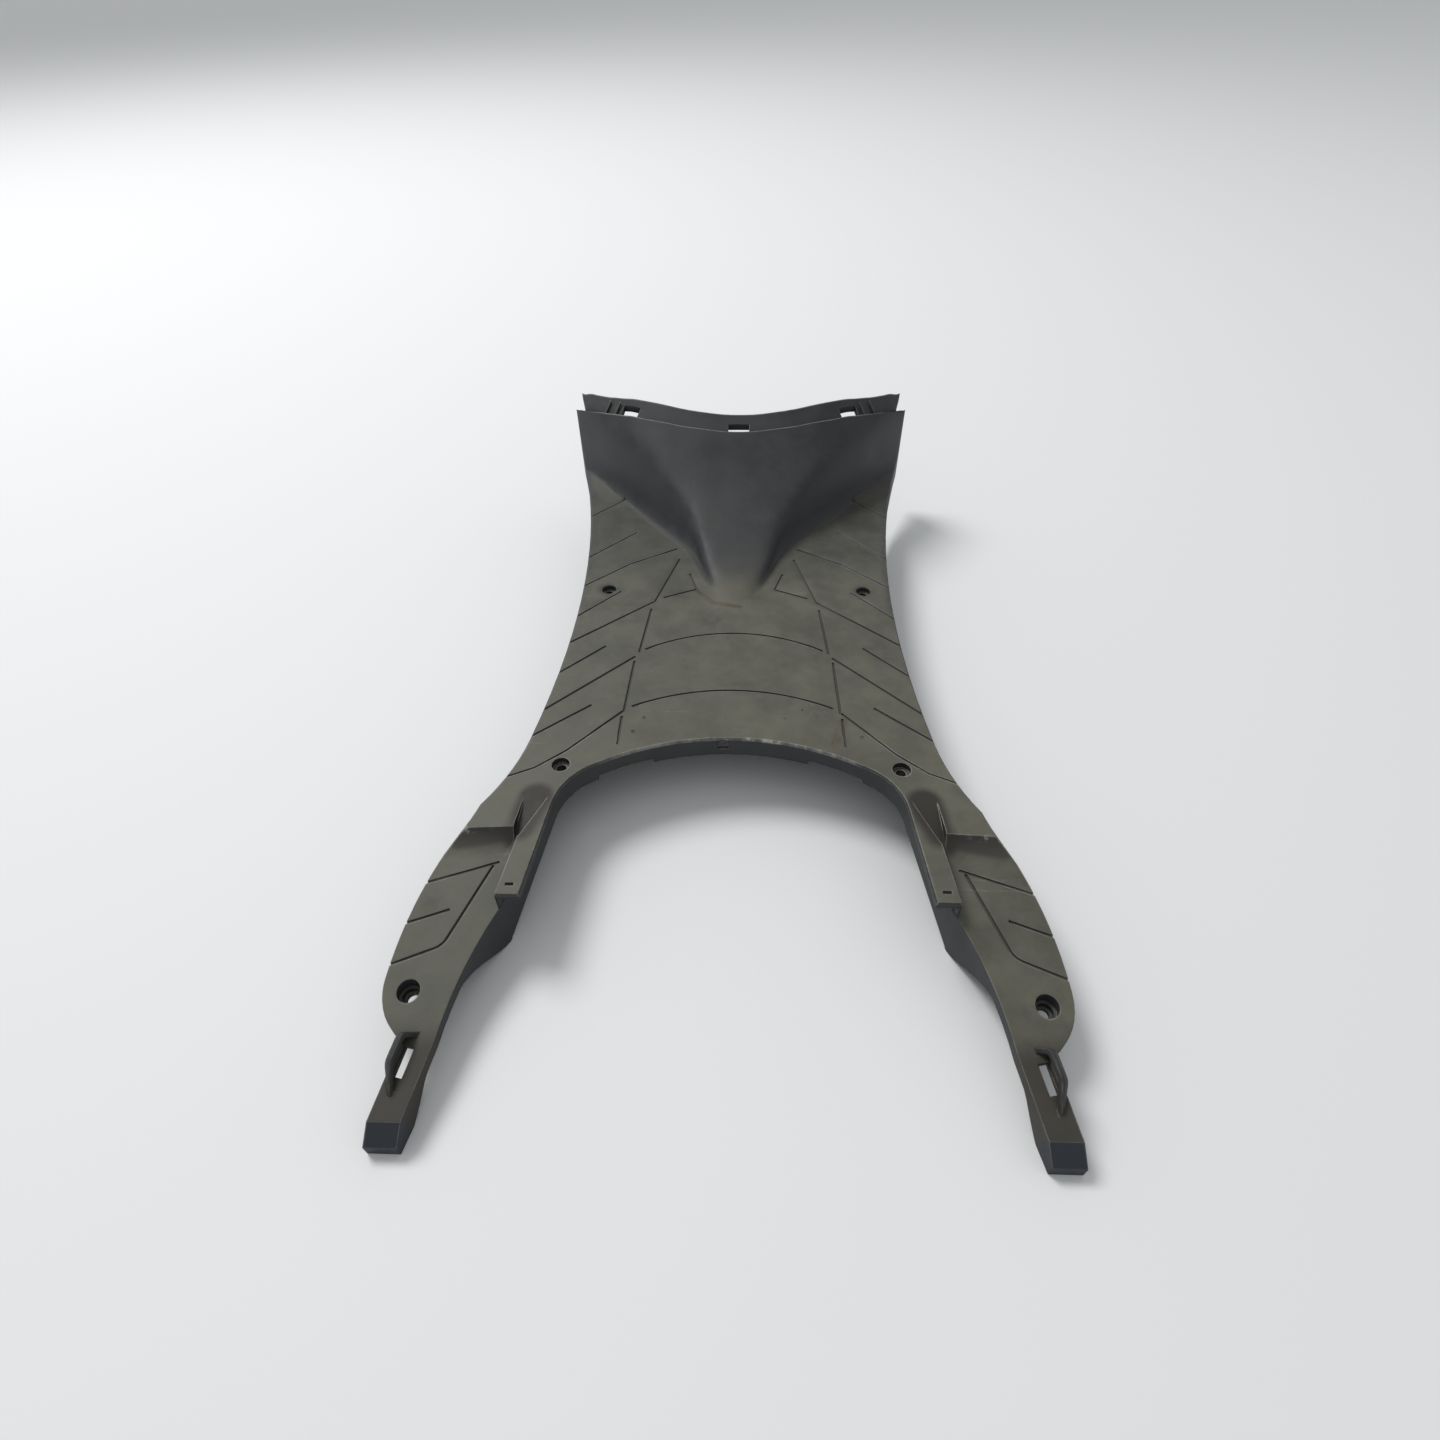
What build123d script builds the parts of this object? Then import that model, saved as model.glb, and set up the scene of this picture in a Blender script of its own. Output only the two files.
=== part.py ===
from build123d import *
import os
from math import acos, asin, cos, degrees, exp, hypot, radians, sin, sqrt, tan

# Floorboard of a motor scooter, moulded in one piece from black polyolefin.
# X is across, Y points to the front of the scooter, Z is up, lengths in millimetres.
# The skirts' lower edges lie on Z = 0 and the part is the same on both sides of X = 0.

# Shell
WALL = 3.0
FLOOR_Z = 60.0
EDGE_BREAK = 1.5

# Side of the floor: one long arc, narrowest at the waist
WAIST_X = 148.5
WAIST_Y = 75.0
WAIST_R = 1140.0
HIP_Y = -93.0

# Arms, right half: shoulder, lobe round the rear screw, then a slim bar
SHOULDER = (184.5, -160.0)
LOBE_X = 221.5
LOBE_Y = -288.0
BAR_ROOT = (201.0, -325.0)
BAR_END_Y = -382.1
BAR_OUTER_X = 211.8
BAR_INNER_X = 191.3
BAR_INNER_ROOT = (180.0, -325.0)
BAR_BLOCK = 16.0
BAR_SLANT = 11.0
ARM_INNER_MID = (171.0, -279.0)

# Arch between the arms
ARCH_Y = -90.0
ARCH_R = 200.0
ARCH_CORNER_X = 104.0
ARCH_CORNER_MID = (122.0, -135.0)
RIM_START = (131.0, -160.0)
RIM_END_X = 139.0
RIM_END_Y = -239.0
RIM_WIDTH = 17.0
RIM_SLOT = (6.0, 2.6)
RIM_SLOT_END = 9.0
RIM_LIP = 5.0
ARCH_SKIRT = 18.0
ARCH_SKIRT_SIDE = 14.0
ARCH_SKIRT_STEP_X = 62.0
CLIP_NOTCH = (9.0, 9.0)
CLIP_NOTCH_X = -6.0
ARM_SKIRT = 9.0
ARM_SKIRT_Y = -281.0
ARM_SKIRT_RUN = 10.0

# Step down to the arms, the pocket beside the rim, then the arms' fall to the rear
STEP_Y = -184.0
STEP_DROP = 8.0
STEP_X = 150.0
STEP_SKEW = 0.275
STEP_LEAN = 0.6
POCKET_Y = -152.0
POCKET_X = 135.0
POCKET_WIDTH = 18.0
POCKET_DEEP_X = 155.0
POCKET_RUN_OUT = 4.0
ARM_FALL = 9.5

# Hump: the ramp over the steering tube and a foot well at each side
TOE_Y = 80.0
RAMP_R = 440.0
RAMP_START = 8.0
RAMP_HALF = 109.0
RAMP_SWEEP = 1.35
RAMP_BEND = 34.0
FLANK_Y = 119.3
FLANK_SLOPE = 1.312
FLANK_LEAN = 0.626
FLANK_TWIST = 0.00418
FLANK_DRAFT = 0.06
TIP_ROUND = 20.0
NOSE_LENGTH = 44.0
NOSE_HALF = 38.0
FOOT_FLARE = 9.0
FOOT_HEIGHT = 5.0
RIDGE_ROUND = 8.0
HUMP_LEVELS = [-4, -2, 1, 4, 8, 13, 20, 29, 39, 50, 62, 75, 90, 105, 120]
HUMP_HALF = 208.0
HUMP_STEPS = 16
HUMP_TOL = 0.05
HUMP_SMOOTH = (1, 0.1, 0.01)
HUMP_DEGREE = 6
HUMP_MARGIN = 13.0
HUMP_SINK = 3.5

# Front edge and the joggled tongue that tucks behind the leg shield
EDGE_MID_Y = 280.3
EDGE_R = 234.2
TONGUE = 21.0
TONGUE_LAP = 14.0
TONGUE_INSET = 10.0
SHELL_SHIFT = (0.0, 4.5, -WALL)
SLOT_X = 119.0
SLOT_WIDTH = 22.0
SLOT_LENGTH = 12.0
SLOT_GAP = 0.5
TONGUE_RIB_X = [134.0, 146.0]
TONGUE_RIB_END = 9.0

# Lower edge of the side skirts towards the front
SKIRT_RISE_Y = 140.0
SKIRT_RISE = 42.0
SKIRT_FRONT_Y = 385.0

# Screw holes
HOLE_R = 3.9
SEAT_R = 7.05
SEAT_DEPTH = 5.0
BOSS_R = 10.5
BOSS_DEPTH = 12.0
REAR_BOSS_Z = 8.0
FRONT_HOLE = (123.4, 110.4)
MID_HOLE = (131.2, -120.2)
REAR_HOLE = (204.2, -295.2)
REAR_SEAT_R = 7.6
REAR_SEAT_DEPTH = 7.0
REAR_STEP_R = 5.6
REAR_STEP_DEPTH = 4.0

# Grooves of the tread, right half
GROOVE_WIDTH = 1.8
GROOVE_DEPTH = 1.1
GROOVE_BEND = 14.0
FLOOR_GROOVES = [
    [(127, 282), (170, 236)],
    [(106, 215), (160, 157)],
    [(62, 183), (107, 155), (154, 111)],
    [(111, 108), (154, 61)],
    [(78, 91), (158, 20)],
    [(115, 24), (160, -22)],
    [(87, 10), (168, -72)],
    [(117, -53), (178, -106)],
    [(90, -60), (129, -105), (151, -124), (182, -139)],
    [(58, 164), (77, 91)],
    [(79, 80), (84, 16)],
    [(87, 4), (89, -60)],
    [(90, -66), (90, -98)],
    [(46, 138), (38, 112), (69, 98)],
]
CROSS_GROOVES = [(79, 20, 44), (83, -54, -33)]
ARM_GROOVES = [
    [(162, -204), (226, -226)],
    [(166, -207), (189, -265), (232, -283)],
    [(190, -240), (228, -254)],
]

# Ribs under the floor
RIB_WALL = 2.0
RIB_DEPTH = 12.0
RIB_X = [45.0, 95.0]
RIB_Y = [-50.0, 12.0, 75.0]

# Strap hoods on the bars, each over a mouth in the bar
LOOP_Y = -338.5
LOOP_SPAN = 40.0
LOOP_HEIGHT = 14.0
LOOP_CROWN = (-15.0, 3.0)
LOOP_TAIL = 4.5
LOOP_THICK = 3.5
LOOP_LEAN = 28.0
LOOP_TURN = 80.0
LOOP_MOUTH = (18.0, 8.0)

# Reach of cutting shapes past the part
HIGH = 220.0
FAR = 520.0
PAST = 5.0
RIB_ALIGN = (Align.CENTER, Align.CENTER, Align.MAX)
SEAT_ALIGN = (Align.CENTER, Align.CENTER, Align.MIN)


def side_x(y):
    """Half width of the floor at a given y."""
    return WAIST_X + WAIST_R - sqrt(WAIST_R**2 - (y - WAIST_Y) ** 2)


def arch_y(x):
    """Edge of the arch near its crown."""
    return ARCH_Y - ARCH_R + sqrt(ARCH_R**2 - x**2)


def arm_z(y):
    """Height of the arms' top surface."""
    return FLOOR_Z - STEP_DROP + (y - STEP_Y) * tan(radians(ARM_FALL))


# Plan outline, drawn on the right and mirrored
with BuildSketch() as outline:
    with BuildLine():
        front = Line((0, FAR), (side_x(FAR), FAR))
        side = ThreePointArc(front @ 1, (WAIST_X, WAIST_Y), (side_x(HIP_Y), HIP_Y))
        hip = TangentArc(side @ 1, SHOULDER, tangent=side % 1)
        shoulder = TangentArc(hip @ 1, (LOBE_X, LOBE_Y), tangent=hip % 1)
        lobe = TangentArc(shoulder @ 1, BAR_ROOT, tangent=shoulder % 1)
        bar = Polyline(
            lobe @ 1,
            (BAR_OUTER_X, BAR_END_Y),
            (BAR_INNER_X, BAR_END_Y),
            BAR_INNER_ROOT,
        )
        arm = ThreePointArc(bar @ 1, ARM_INNER_MID, (RIM_END_X + RIM_WIDTH, RIM_END_Y))
        rim = Polyline(arm @ 1, (RIM_END_X, RIM_END_Y), RIM_START)
        corner = ThreePointArc(rim @ 1, ARCH_CORNER_MID, (ARCH_CORNER_X, arch_y(ARCH_CORNER_X)))
        arch = ThreePointArc(corner @ 1, (ARCH_CORNER_X / 2, arch_y(ARCH_CORNER_X / 2)), (0, ARCH_Y))
        mirror(about=Plane.YZ)
    make_face()

with BuildSketch() as inner_outline:
    add(outline.sketch)
    offset(amount=-WALL, mode=Mode.REPLACE)
    with Locations((0, BAR_END_Y)):
        Rectangle(2 * FAR, 2 * BAR_BLOCK, mode=Mode.SUBTRACT)

with BuildSketch() as tongue_outline:
    with BuildLine():
        tongue_front = Line((0, FAR), (side_x(FAR) - TONGUE_INSET, FAR))
        tongue_side = ThreePointArc(
            tongue_front @ 1, (WAIST_X - TONGUE_INSET, WAIST_Y), (side_x(HIP_Y) - TONGUE_INSET, HIP_Y)
        )
        Line(tongue_side @ 1, (0, HIP_Y))
        mirror(about=Plane.YZ)
    make_face()


# Hump: a smooth surface through points of ramp and flanks, filled forwards
def ramp_y(x, z):
    """Ramp surface at height z over the floor: a concave arc, swept forward past its flat middle."""
    start = radians(RAMP_START)
    angle = acos(cos(start) - max(z, 0) / RAMP_R)
    run = RAMP_R * (sin(angle) - sin(start)) + min(z, 0) / tan(start)
    past = abs(x) - RAMP_HALF
    return TOE_Y + run + RAMP_SWEEP * (past + hypot(past, RAMP_BEND)) / 2


def flank_y(x, z):
    """Flank of the foot wells at height z, with a blunt nose and a hollow foot."""
    wedge = FLANK_Y + FLANK_SLOPE * hypot(x, TIP_ROUND) - NOSE_LENGTH * exp(-((x / NOSE_HALF) ** 4))
    lean = hypot(max(FLANK_LEAN - FLANK_TWIST * abs(x), 0), FLANK_DRAFT)
    return wedge + z * lean - FOOT_FLARE * exp(-z / FOOT_HEIGHT)


def hump_point(x, z):
    """Ramp and flanks run together with a soft ridge."""
    ramp, flank = ramp_y(x, z), flank_y(x, z)
    y = (ramp + flank) / 2 + hypot((ramp - flank) / 2, RIDGE_ROUND)
    return (x, y, FLOOR_Z + z)


HUMP_X = [HUMP_HALF * i / HUMP_STEPS for i in range(-HUMP_STEPS, HUMP_STEPS + 1)]
hump_points = [[hump_point(x, z) for x in HUMP_X] for z in HUMP_LEVELS]
hump_face = Face.make_surface_from_array_of_points(
    hump_points, tol=HUMP_TOL, smoothing=HUMP_SMOOTH, max_deg=HUMP_DEGREE
)
with BuildPart() as hump_block:
    with Locations((0, TOE_Y - HUMP_MARGIN, FLOOR_Z - HUMP_SINK)):
        Box(
            2 * (HUMP_HALF - HUMP_MARGIN),
            FAR - TOE_Y,
            HUMP_LEVELS[-1] - HUMP_SINK,
            align=(Align.CENTER, Align.MIN, Align.MIN),
        )
    split(bisect_by=hump_face, keep=Keep.ALL)
hump = hump_block.part.solids().sort_by(Axis.Y)[-1]


def behind_edge(shift):
    """Everything behind the front edge's arc, moved forward by shift."""
    with BuildPart() as region:
        with BuildSketch(Plane((0, EDGE_MID_Y + EDGE_R + shift, 0))):
            with Locations((0, -EDGE_R / 2)):
                Rectangle(2 * FAR, 2 * FAR, align=(Align.CENTER, Align.MAX))
            Circle(EDGE_R, mode=Mode.SUBTRACT)
        extrude(amount=HIGH)
    return region.part


def hump_layer(times, plan, shift):
    """The hump moved inwards by so many walls, cut to a plan and to the front edge."""
    with BuildPart() as layer:
        with Locations(tuple(times * step for step in SHELL_SHIFT)):
            add(hump)
        extrude(plan, amount=HIGH, mode=Mode.INTERSECT)
        add(behind_edge(shift), mode=Mode.INTERSECT)
    return layer.part


# Room over one arm: flat on the arm, sloping up at the step, upright along the rim
FALL = radians(ARM_FALL)
ARM_PLANE = Plane((0, STEP_Y, FLOOR_Z - STEP_DROP), (1, 0, 0), (0, -sin(FALL), cos(FALL)))
ROOM_Z = 100.0


def on_arm(x, y):
    """Point on the arms' sloping plane under a point of the plan."""
    return (x, (y - STEP_Y) / cos(FALL))


def arm_room_outline(rise):
    """Plan of the room over one arm, at a height above the step's foot."""
    rim_lean = (RIM_END_X + RIM_WIDTH - STEP_X) / (STEP_Y - RIM_END_Y)
    return [
        (STEP_X - rim_lean * STEP_LEAN * rise, STEP_Y + STEP_LEAN * rise),
        (FAR, STEP_Y + STEP_LEAN * rise - STEP_SKEW * (FAR - STEP_X)),
        (FAR, -FAR),
        (ARCH_CORNER_X, -FAR),
        (ARCH_CORNER_X, RIM_END_Y),
        (RIM_END_X + RIM_WIDTH, RIM_END_Y),
    ]


with BuildSketch(ARM_PLANE) as arm_room_foot:
    with BuildLine():
        Polyline(*[on_arm(x, y) for x, y in arm_room_outline(0)], close=True)
    make_face()

with BuildSketch(Plane.XY.offset(ROOM_Z)) as arm_room_top:
    with BuildLine():
        Polyline(*arm_room_outline(ROOM_Z - FLOOR_Z + STEP_DROP), close=True)
    make_face()

with BuildPart() as arm_room:
    loft([arm_room_foot.sketch, arm_room_top.sketch], ruled=True)

# With it goes a pocket that ramps down from the floor to the arm beside the rim
POCKET_RUN = POCKET_Y - STEP_Y


def both_arms(grow):
    """The room over both arms, larger by grow towards the walls around it."""
    with BuildPart() as room:
        with Locations((-grow, grow / 2, -grow)):
            add(arm_room.part)
        foot = (0, POCKET_Y + grow / 2, FLOOR_Z - grow)
        with BuildSketch(Plane(foot, (1, 0, 0), (0, -STEP_DROP, POCKET_RUN))):
            with BuildLine():
                Polyline(
                    (POCKET_X - grow, 0),
                    (POCKET_X + POCKET_WIDTH + grow, 0),
                    (POCKET_DEEP_X + grow, -POCKET_RUN + STEP_DROP),
                    (POCKET_DEEP_X + grow, -POCKET_RUN - POCKET_RUN_OUT),
                    (STEP_X - grow, -POCKET_RUN - POCKET_RUN_OUT),
                    close=True,
                )
            make_face()
        extrude(amount=ROOM_Z - FLOOR_Z - grow)
    return [room.part, room.part.mirror(Plane.YZ)]


# Outer form
with BuildPart() as board:
    extrude(outline.sketch, amount=FLOOR_Z)
    chamfer(edges().group_by(Axis.Z)[-1], length=EDGE_BREAK)
    add(both_arms(0), mode=Mode.SUBTRACT)
    add(behind_edge(0), mode=Mode.INTERSECT)
    add(hump_layer(0, outline.sketch, 0))
    add(hump_layer(1, tongue_outline.sketch, TONGUE))

# Hollow underside, open below and at the front
with BuildPart() as hollow:
    extrude(inner_outline.sketch, amount=FLOOR_Z - WALL)
    add(both_arms(WALL), mode=Mode.SUBTRACT)
    add(hump_layer(1, inner_outline.sketch, -TONGUE_LAP))
    add(hump_layer(2, inner_outline.sketch, EDGE_R / 2))

with board:
    add(hollow.part, mode=Mode.SUBTRACT)


def pair(x, y):
    """A place on the right and its mirror on the left."""
    return [(x, y), (-x, y)]


# Lower edges: shallow skirt round the arch and along the arms' tails, rising skirts in front
with BuildPart() as below_edges:
    with BuildSketch():
        with Locations((0, RIM_START[1])):
            Rectangle(
                2 * (RIM_START[0] + 2 * WALL),
                ARCH_Y + 2 * WALL - RIM_START[1],
                align=(Align.CENTER, Align.MIN),
            )
    extrude(amount=FLOOR_Z - ARCH_SKIRT)
    with BuildSketch():
        with BuildLine():
            Polyline(
                (RIM_START[0] + 2 * WALL, RIM_START[1]),
                (RIM_END_X + RIM_WIDTH, RIM_END_Y),
                (RIM_END_X + RIM_WIDTH, RIM_END_Y - PAST),
                (0, RIM_END_Y - PAST),
                (0, RIM_START[1]),
                close=True,
            )
        make_face()
        mirror(about=Plane.YZ)
    extrude(amount=FLOOR_Z - RIM_LIP)
    with BuildSketch():
        for x in (1, -1):
            with Locations((x * (ARCH_SKIRT_STEP_X + ARCH_CORNER_X) / 2, arch_y(ARCH_CORNER_X))):
                Rectangle(
                    ARCH_CORNER_X - ARCH_SKIRT_STEP_X,
                    ARCH_Y + 2 * WALL - arch_y(ARCH_CORNER_X),
                    align=(Align.CENTER, Align.MIN),
                )
    extrude(amount=FLOOR_Z - ARCH_SKIRT_SIDE)
    with BuildSketch(Plane.YZ):
        with BuildLine():
            rise = TangentArc((SKIRT_RISE_Y, 0), (SKIRT_FRONT_Y, SKIRT_RISE), tangent=(1, 0))
            Polyline(rise @ 1, (SKIRT_FRONT_Y, -PAST), (SKIRT_RISE_Y, -PAST), rise @ 0)
        make_face()
    extrude(amount=FAR, both=True)
    with BuildSketch(Plane.YZ):
        tail_y = BAR_END_Y + BAR_BLOCK
        with BuildLine():
            Polyline(
                (ARM_SKIRT_Y, -PAST),
                (ARM_SKIRT_Y - ARM_SKIRT_RUN, arm_z(ARM_SKIRT_Y - ARM_SKIRT_RUN) - ARM_SKIRT),
                (tail_y, arm_z(tail_y) - ARM_SKIRT),
                (tail_y, -PAST),
                close=True,
            )
        make_face()
    extrude(amount=BAR_INNER_X, both=True)

with board:
    add(below_edges.part, mode=Mode.SUBTRACT)

# Slanted ends of the bars
with board:
    with BuildSketch(Plane.YZ):
        end_y = BAR_END_Y + BAR_SLANT
        with BuildLine():
            Polyline(
                (end_y + PAST, arm_z(end_y) + PAST),
                (BAR_END_Y - PAST, arm_z(end_y) - BAR_SLANT - PAST),
                (BAR_END_Y - PAST, arm_z(end_y) + PAST),
                close=True,
            )
        make_face()
    extrude(amount=FAR, both=True, mode=Mode.SUBTRACT)

# Ribs under the floor
with BuildPart() as ribs:
    for y in RIB_Y:
        with Locations((0, y, FLOOR_Z - WALL / 2)):
            Box(2 * side_x(y) - WALL, RIB_WALL, RIB_DEPTH + WALL / 2, align=RIB_ALIGN)
    for x in RIB_X:
        rear_y = arch_y(x) + WALL / 2
        for side_mark in (1, -1):
            with Locations((side_mark * x, (rear_y + RIB_Y[-1]) / 2, FLOOR_Z - WALL / 2)):
                Box(RIB_WALL, RIB_Y[-1] - rear_y, RIB_DEPTH + WALL / 2, align=RIB_ALIGN)

# Wall under each rim, from the arch's shallow skirt down to the arm's deep one
with BuildPart() as rim_walls:
    with BuildSketch():
        with BuildLine():
            Polyline(
                RIM_START,
                (RIM_END_X + RIM_WIDTH, RIM_END_Y),
                (RIM_END_X + RIM_WIDTH + WALL, RIM_END_Y),
                (RIM_START[0] + WALL, RIM_START[1]),
                close=True,
            )
        make_face()
        mirror(about=Plane.YZ)
    extrude(amount=FLOOR_Z - WALL / 2)
    with BuildSketch(Plane.YZ):
        with BuildLine():
            Polyline(
                (RIM_END_Y, 0),
                (RIM_START[1], FLOOR_Z - ARCH_SKIRT),
                (RIM_START[1], 0),
                close=True,
            )
        make_face()
    extrude(amount=FAR, both=True, mode=Mode.SUBTRACT)
    add(both_arms(WALL / 2), mode=Mode.SUBTRACT)

# Bosses under the screw holes
with BuildPart() as bosses:
    with Locations(*[(x, y, FLOOR_Z - WALL / 2) for x, y in pair(*FRONT_HOLE) + pair(*MID_HOLE)]):
        Cylinder(BOSS_R, BOSS_DEPTH, align=RIB_ALIGN)
    with Locations(*[(x, y, REAR_BOSS_Z) for x, y in pair(*REAR_HOLE)]):
        Cylinder(BOSS_R, FLOOR_Z - REAR_BOSS_Z, align=(Align.CENTER, Align.CENTER, Align.MIN))
    add(both_arms(WALL / 2), mode=Mode.SUBTRACT)

with board:
    add(ribs.part)
    add(rim_walls.part)
    add(bosses.part)

# Screw holes with recessed seats, the rear ones in two steps
REAR_Z = arm_z(REAR_HOLE[1])
with board:
    with Locations(*[(x, y, FLOOR_Z) for x, y in pair(*FRONT_HOLE) + pair(*MID_HOLE)]):
        CounterBoreHole(HOLE_R, SEAT_R, SEAT_DEPTH, depth=2 * BOSS_DEPTH)
    with Locations(*[(x, y, REAR_Z - REAR_SEAT_DEPTH) for x, y in pair(*REAR_HOLE)]):
        Cylinder(REAR_SEAT_R, FLOOR_Z, align=SEAT_ALIGN, mode=Mode.SUBTRACT)
        CounterBoreHole(HOLE_R, REAR_STEP_R, REAR_STEP_DEPTH, depth=FLOOR_Z)

# Tread grooves on the floor and on the arms
def bent_line(points):
    """A line through the points, with any corner rounded."""
    if len(points) > 2:
        FilletPolyline(*points, radius=GROOVE_BEND)
    else:
        Polyline(*points)


with BuildPart() as grooves:
    with BuildSketch(Plane.XY.offset(FLOOR_Z - GROOVE_DEPTH)):
        with BuildLine() as floor_lines:
            for path in FLOOR_GROOVES:
                Polyline(*path)
                Polyline(*[(-x, y) for x, y in path])
            for x, y, mid_y in CROSS_GROOVES:
                ThreePointArc((-x, y), (0, mid_y), (x, y))
        trace(floor_lines.edges(), line_width=GROOVE_WIDTH)
    extrude(amount=GROOVE_DEPTH + PAST)
    with BuildSketch(ARM_PLANE.offset(-GROOVE_DEPTH)):
        with BuildLine() as arm_lines:
            for path in ARM_GROOVES:
                for mark in (1, -1):
                    bent_line([on_arm(mark * x, y) for x, y in path])
        trace(arm_lines.edges(), line_width=GROOVE_WIDTH)
    extrude(amount=GROOVE_DEPTH + PAST)

with board:
    add(grooves.part, mode=Mode.SUBTRACT)


# Slots in the tongue, along the front edge, and the short ribs beside them
def at_front_edge(x, ahead):
    """Place and turn of a feature in front of the edge's curve."""
    radius = EDGE_R - ahead
    turn = asin(x / radius)
    return Location((x, EDGE_MID_Y + EDGE_R - radius * cos(turn), 0), (0, 0, degrees(turn)))


with BuildPart() as tongue_ribs:
    for x in TONGUE_RIB_X:
        with Locations(*[at_front_edge(mark * x, (TONGUE - TONGUE_RIB_END) / 2) for mark in (1, -1)]):
            Box(RIB_WALL, TONGUE - TONGUE_RIB_END, HIGH, align=SEAT_ALIGN)
    add(hump_layer(0.5, tongue_outline.sketch, TONGUE), mode=Mode.INTERSECT)
    add(hollow.part, mode=Mode.SUBTRACT)

with board:
    add(tongue_ribs.part)
    with Locations(*[at_front_edge(x, SLOT_GAP + SLOT_LENGTH / 2) for x in (-SLOT_X, 0, SLOT_X)]):
        Box(SLOT_WIDTH, SLOT_LENGTH, HIGH, align=SEAT_ALIGN, mode=Mode.SUBTRACT)

# Slot at the end of the rim and notch in the arch's skirt
with board:
    with Locations(*[(x, y, FLOOR_Z) for x, y in pair(RIM_END_X + RIM_WIDTH / 2, RIM_END_Y + RIM_SLOT_END)]):
        Box(*RIM_SLOT, 2 * (WALL + PAST), mode=Mode.SUBTRACT)
    with Locations((CLIP_NOTCH_X, ARCH_Y + WALL / 2, FLOOR_Z - WALL)):
        Box(CLIP_NOTCH[0], WALL + 2 * PAST, CLIP_NOTCH[1], align=RIB_ALIGN, mode=Mode.SUBTRACT)

# Strap hood on the right bar: an arch turned outwards about the bar's middle line
BAR_RUN_X = (BAR_OUTER_X + BAR_INNER_X - BAR_ROOT[0] - BAR_INNER_ROOT[0]) / 2
BAR_RUN_Y = BAR_END_Y - BAR_ROOT[1]
LOOP_X = (BAR_ROOT[0] + BAR_INNER_ROOT[0]) / 2 + BAR_RUN_X * (LOOP_Y - BAR_ROOT[1]) / BAR_RUN_Y
LOOP_ALONG = Vector(BAR_RUN_X, BAR_RUN_Y, BAR_RUN_Y * tan(FALL)).normalized()
LOOP_UP = Vector(sin(radians(LOOP_LEAN)), 0, cos(radians(LOOP_LEAN)))
LOOP_FOOT = (LOOP_X, LOOP_Y, arm_z(LOOP_Y) - WALL / 2)
with BuildPart() as loop:
    with BuildSketch(Plane(LOOP_FOOT, LOOP_ALONG, LOOP_ALONG.cross(LOOP_UP))):
        with BuildLine():
            Polyline(
                (-LOOP_SPAN / 2, -LOOP_HEIGHT),
                (-LOOP_SPAN / 2, 0),
                (LOOP_CROWN[0], LOOP_HEIGHT),
                (LOOP_CROWN[1], LOOP_HEIGHT),
                (LOOP_SPAN / 2, LOOP_TAIL),
                (LOOP_SPAN / 2, -LOOP_HEIGHT),
                close=True,
            )
        make_face()
        offset(amount=-LOOP_THICK, mode=Mode.SUBTRACT)
        Rectangle(LOOP_SPAN, LOOP_HEIGHT, align=(Align.CENTER, Align.MAX), mode=Mode.SUBTRACT)
    revolve(axis=Axis(LOOP_FOOT, -LOOP_ALONG), revolution_arc=LOOP_TURN)

with BuildPart() as loop_mouth:
    with BuildSketch(Plane(LOOP_FOOT, (BAR_RUN_X, BAR_RUN_Y, 0), (0, 0, 1))):
        Rectangle(*LOOP_MOUTH, align=(Align.CENTER, Align.MIN))
    extrude(amount=2 * WALL, both=True)

with board:
    add([loop_mouth.part, loop_mouth.part.mirror(Plane.YZ)], mode=Mode.SUBTRACT)
    add([loop.part, loop.part.mirror(Plane.YZ)])

# The middle of the part's box stands on the origin
with BuildPart() as floorboard:
    with Locations((0, -board.part.bounding_box().center().Y, 0)):
        add(board.part)

floorboard.part.label = "floorboard"
os.makedirs("parts", exist_ok=True)
export_step(floorboard.part, "parts/floorboard.step")
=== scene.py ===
import math

import bmesh
import bpy
from mathutils import Matrix, Vector


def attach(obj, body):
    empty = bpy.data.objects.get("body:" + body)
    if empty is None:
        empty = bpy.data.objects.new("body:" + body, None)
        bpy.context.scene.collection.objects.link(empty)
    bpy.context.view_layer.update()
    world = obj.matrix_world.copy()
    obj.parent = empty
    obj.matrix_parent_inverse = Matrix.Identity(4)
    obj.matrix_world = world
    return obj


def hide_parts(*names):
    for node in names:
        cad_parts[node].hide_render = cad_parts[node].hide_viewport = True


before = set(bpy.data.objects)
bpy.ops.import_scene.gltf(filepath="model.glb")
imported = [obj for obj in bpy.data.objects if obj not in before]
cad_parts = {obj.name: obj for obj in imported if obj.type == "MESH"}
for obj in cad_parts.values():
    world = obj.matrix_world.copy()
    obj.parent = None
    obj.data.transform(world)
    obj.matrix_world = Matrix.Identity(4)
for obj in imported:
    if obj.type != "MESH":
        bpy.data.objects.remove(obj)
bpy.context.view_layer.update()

# Lengths are in millimetres in the part's frame and angles in degrees, unless a comment says
# otherwise. Shapes are given for the right side and count for both.
SIDES = (1, -1)

# Camera at the photograph's place; clip in metres
CAMERA_PLACE = (11.7, -542.1, 523.8)
CAMERA_PITCH = 44.60
CAMERA_YAW = -2.571
CAMERA_ROLL = -1.053
CAMERA_LENS = 20.275
CAMERA_SENSOR = 36.0
CAMERA_CLIP = (0.01, 100.0)

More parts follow.
